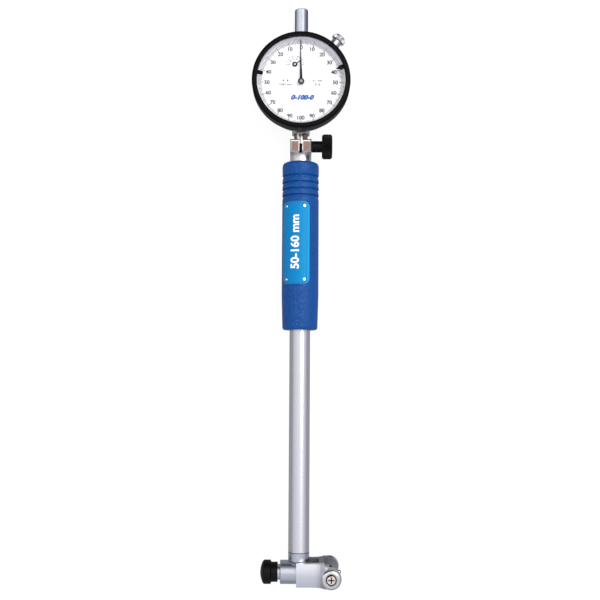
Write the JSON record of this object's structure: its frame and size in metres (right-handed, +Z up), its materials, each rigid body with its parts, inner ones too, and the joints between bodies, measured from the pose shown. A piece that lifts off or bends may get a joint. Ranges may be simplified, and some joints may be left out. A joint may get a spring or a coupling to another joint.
{
  "type": "dial bore gauge",
  "caption": "Dial bore gauge: dial indicator clamped on a long tube with a blue grip, and a two-point measuring head with centring bridge and rollers.",
  "frame": {"origin": "on the surface that the gauge lies on, under the middle of its overall box", "axes": "+X from the anvil nut to the measuring contact, +Y along the gauge to the dial, +Z up, out of the dial"},
  "size_m": [0.0576, 0.3374, 0.0467],
  "materials": {
    "aluminium": "machined",
    "black_metal": "black",
    "blue_grip": "pebbled",
    "brass": "machined",
    "case_metal": "satin",
    "chrome": "polished",
    "dial_white": "matt white",
    "hand_black": "black",
    "label": "printed",
    "steel": "machined",
    "tube_steel": "satin",
    "window": "clear"
  },
  "bodies": {
    "frame": {"main_tube": "tube_steel", "handle_grip": "blue_grip", "label_plate": "label", "label_rivets": "chrome", "clamp_sleeve": "chrome", "lower_guide": "brass", "upper_guide": "brass", "rod_spring": "steel", "head_body": "case_metal", "crank_pin": "steel", "nose_bush": "steel", "bridge_spring": "steel"},
    "indicator": {"indicator_stem": "steel", "lower_bush": "brass", "middle_bush": "brass", "upper_bush": "brass", "indicator_case": "aluminium", "rear_cover": "aluminium", "cover_screws": "steel", "top_cap": "case_metal", "return_spring": "steel", "rear_plate": "brass", "front_plate": "brass", "pillars": "brass", "plate_screws": "steel", "pillar_screws": "steel", "hairspring": "steel", "hairspring_stud": "brass", "dial_disc": "dial_white", "wire_ring": "steel", "lock_shoe": "brass"},
    "bezel": {"bezel": "black_metal", "crystal": "window", "spacer_ring": "aluminium", "dial_ring": "dial_white"},
    "left_marker": {"left_marker": "hand_black"},
    "right_marker": {"right_marker": "hand_black"},
    "hand": {"centre_arbor": "steel", "main_hand": "hand_black", "hand_hub": "steel"},
    "counter": {"counter_wheel": "brass", "counter_arbor": "steel", "counter_hand": "hand_black"},
    "intermediate": {"intermediate_wheel": "brass", "intermediate_pinion": "steel"},
    "lever": {"sector_lever": "brass"},
    "spindle": {"spindle": "steel", "contact_tip": "steel"},
    "lock_knob": {"lock_knob": "chrome"},
    "clamp_screw": {"clamp_screw": "black_metal"},
    "push_rod": {"push_rod": "steel"},
    "bell_crank": {"bell_crank": "steel"},
    "measuring_contact": {"measuring_contact": "steel"},
    "bridge": {"centring_bridge": "case_metal", "bridge_stop": "steel", "roller_screws": "chrome"},
    "front_roller": {"front_roller": "chrome"},
    "rear_roller": {"rear_roller": "chrome"},
    "anvil_nut": {"anvil_nut": "black_metal"}
  },
  "joints": [
    {"name": "indicator_turn", "type": "hinge", "parent": "frame", "child": "indicator", "pos_m": [0, 0.0716, 0.01351], "axis": [0, 0.9989, -0.0473], "continuous": true},
    {"name": "clamp_screw_turn", "type": "hinge", "parent": "frame", "child": "clamp_screw", "pos_m": [0, 0.08334, 0.02036], "axis": [1, 0, 0], "range_deg": [0, 180]},
    {"name": "bezel_turn", "type": "hinge", "parent": "indicator", "child": "bezel", "pos_m": [0, 0.12163, 0.01925], "axis": [0, 0.0473, 0.9989], "continuous": true},
    {"name": "left_marker_turn", "type": "hinge", "parent": "bezel", "child": "left_marker", "pos_m": [0, 0.12163, 0.01925], "axis": [0, 0.0473, 0.9989], "range_deg": [-70.5, 89.5]},
    {"name": "right_marker_turn", "type": "hinge", "parent": "bezel", "child": "right_marker", "pos_m": [0, 0.12163, 0.01925], "axis": [0, 0.0473, 0.9989], "range_deg": [-98, 62]},
    {"name": "lock_knob_turn", "type": "hinge", "parent": "indicator", "child": "lock_knob", "pos_m": [0, 0.12134, 0.01316], "axis": [0.6157, 0.7871, -0.0373], "range_deg": [0, 180]},
    {"name": "hand_turn", "type": "hinge", "parent": "indicator", "child": "hand", "pos_m": [0, 0.12163, 0.01925], "axis": [0, -0.0473, -0.9989], "range_deg": [-0.5, 1440.5]},
    {"name": "counter_turn", "type": "hinge", "parent": "indicator", "child": "counter", "pos_m": [-0.00376, 0.13221, 0.01524], "axis": [0, -0.0473, -0.9989], "range_deg": [-144.5, 0.5], "deforming": ["hairspring"]},
    {"name": "intermediate_turn", "type": "hinge", "parent": "indicator", "child": "intermediate", "pos_m": [-0.00325, 0.11273, 0.01617], "axis": [0, -0.0473, -0.9989], "range_deg": [-180.5, 0.5]},
    {"name": "lever_turn", "type": "hinge", "parent": "indicator", "child": "lever", "pos_m": [0.00255, 0.10084, 0.01563], "axis": [0, -0.0473, -0.9989], "range_deg": [-0.1, 18.1]},
    {"name": "spindle_slide", "type": "slide", "parent": "indicator", "child": "spindle", "axis": [0, 0.9989, -0.0473], "range_m": [-0.000005, 0.000805], "deforming": ["return_spring"]},
    {"name": "rod_slide", "type": "slide", "parent": "frame", "child": "push_rod", "axis": [0, 0.9989, -0.0473], "range_m": [0, 0.0008], "stiffness_N_per_m": 300, "springref_m": -0.005, "deforming": ["rod_spring"]},
    {"name": "crank_turn", "type": "hinge", "parent": "frame", "child": "bell_crank", "pos_m": [0.0028, -0.15884, 0.02442], "axis": [0, -0.0473, -0.9989], "range_deg": [-0.1, 16.48]},
    {"name": "contact_slide", "type": "slide", "parent": "frame", "child": "measuring_contact", "axis": [-1, 0, 0], "range_m": [-0.000005, 0.000805]},
    {"name": "bridge_slide", "type": "slide", "parent": "frame", "child": "bridge", "axis": [-1, 0, 0], "range_m": [0, 0.004], "stiffness_N_per_m": 1500, "springref_m": -0.006, "deforming": ["bridge_spring"]},
    {"name": "front_roller_turn", "type": "hinge", "parent": "bridge", "child": "front_roller", "pos_m": [0.0179, -0.16062, 0.04598], "axis": [0, 0.0473, 0.9989], "continuous": true},
    {"name": "rear_roller_turn", "type": "hinge", "parent": "bridge", "child": "rear_roller", "pos_m": [0.0179, -0.16265, 0.00313], "axis": [0, 0.0473, 0.9989], "continuous": true},
    {"name": "anvil_nut_turn", "type": "hinge", "parent": "frame", "child": "anvil_nut", "pos_m": [-0.0154, -0.16164, 0.02455], "axis": [-1, 0, 0], "range_deg": [0, 360]}
  ],
  "couplings": [
    {"joint": "hand_turn", "follows": "rod_slide", "rad_per_m": 31416},
    {"joint": "counter_turn", "follows": "rod_slide", "rad_per_m": -3141.6},
    {"joint": "intermediate_turn", "follows": "rod_slide", "rad_per_m": -3927},
    {"joint": "lever_turn", "follows": "rod_slide", "rad_per_m": 392.7},
    {"joint": "spindle_slide", "follows": "rod_slide", "ratio": 1},
    {"joint": "crank_turn", "follows": "rod_slide", "rad_per_m": 357.36},
    {"joint": "contact_slide", "follows": "rod_slide", "ratio": 1}
  ]
}
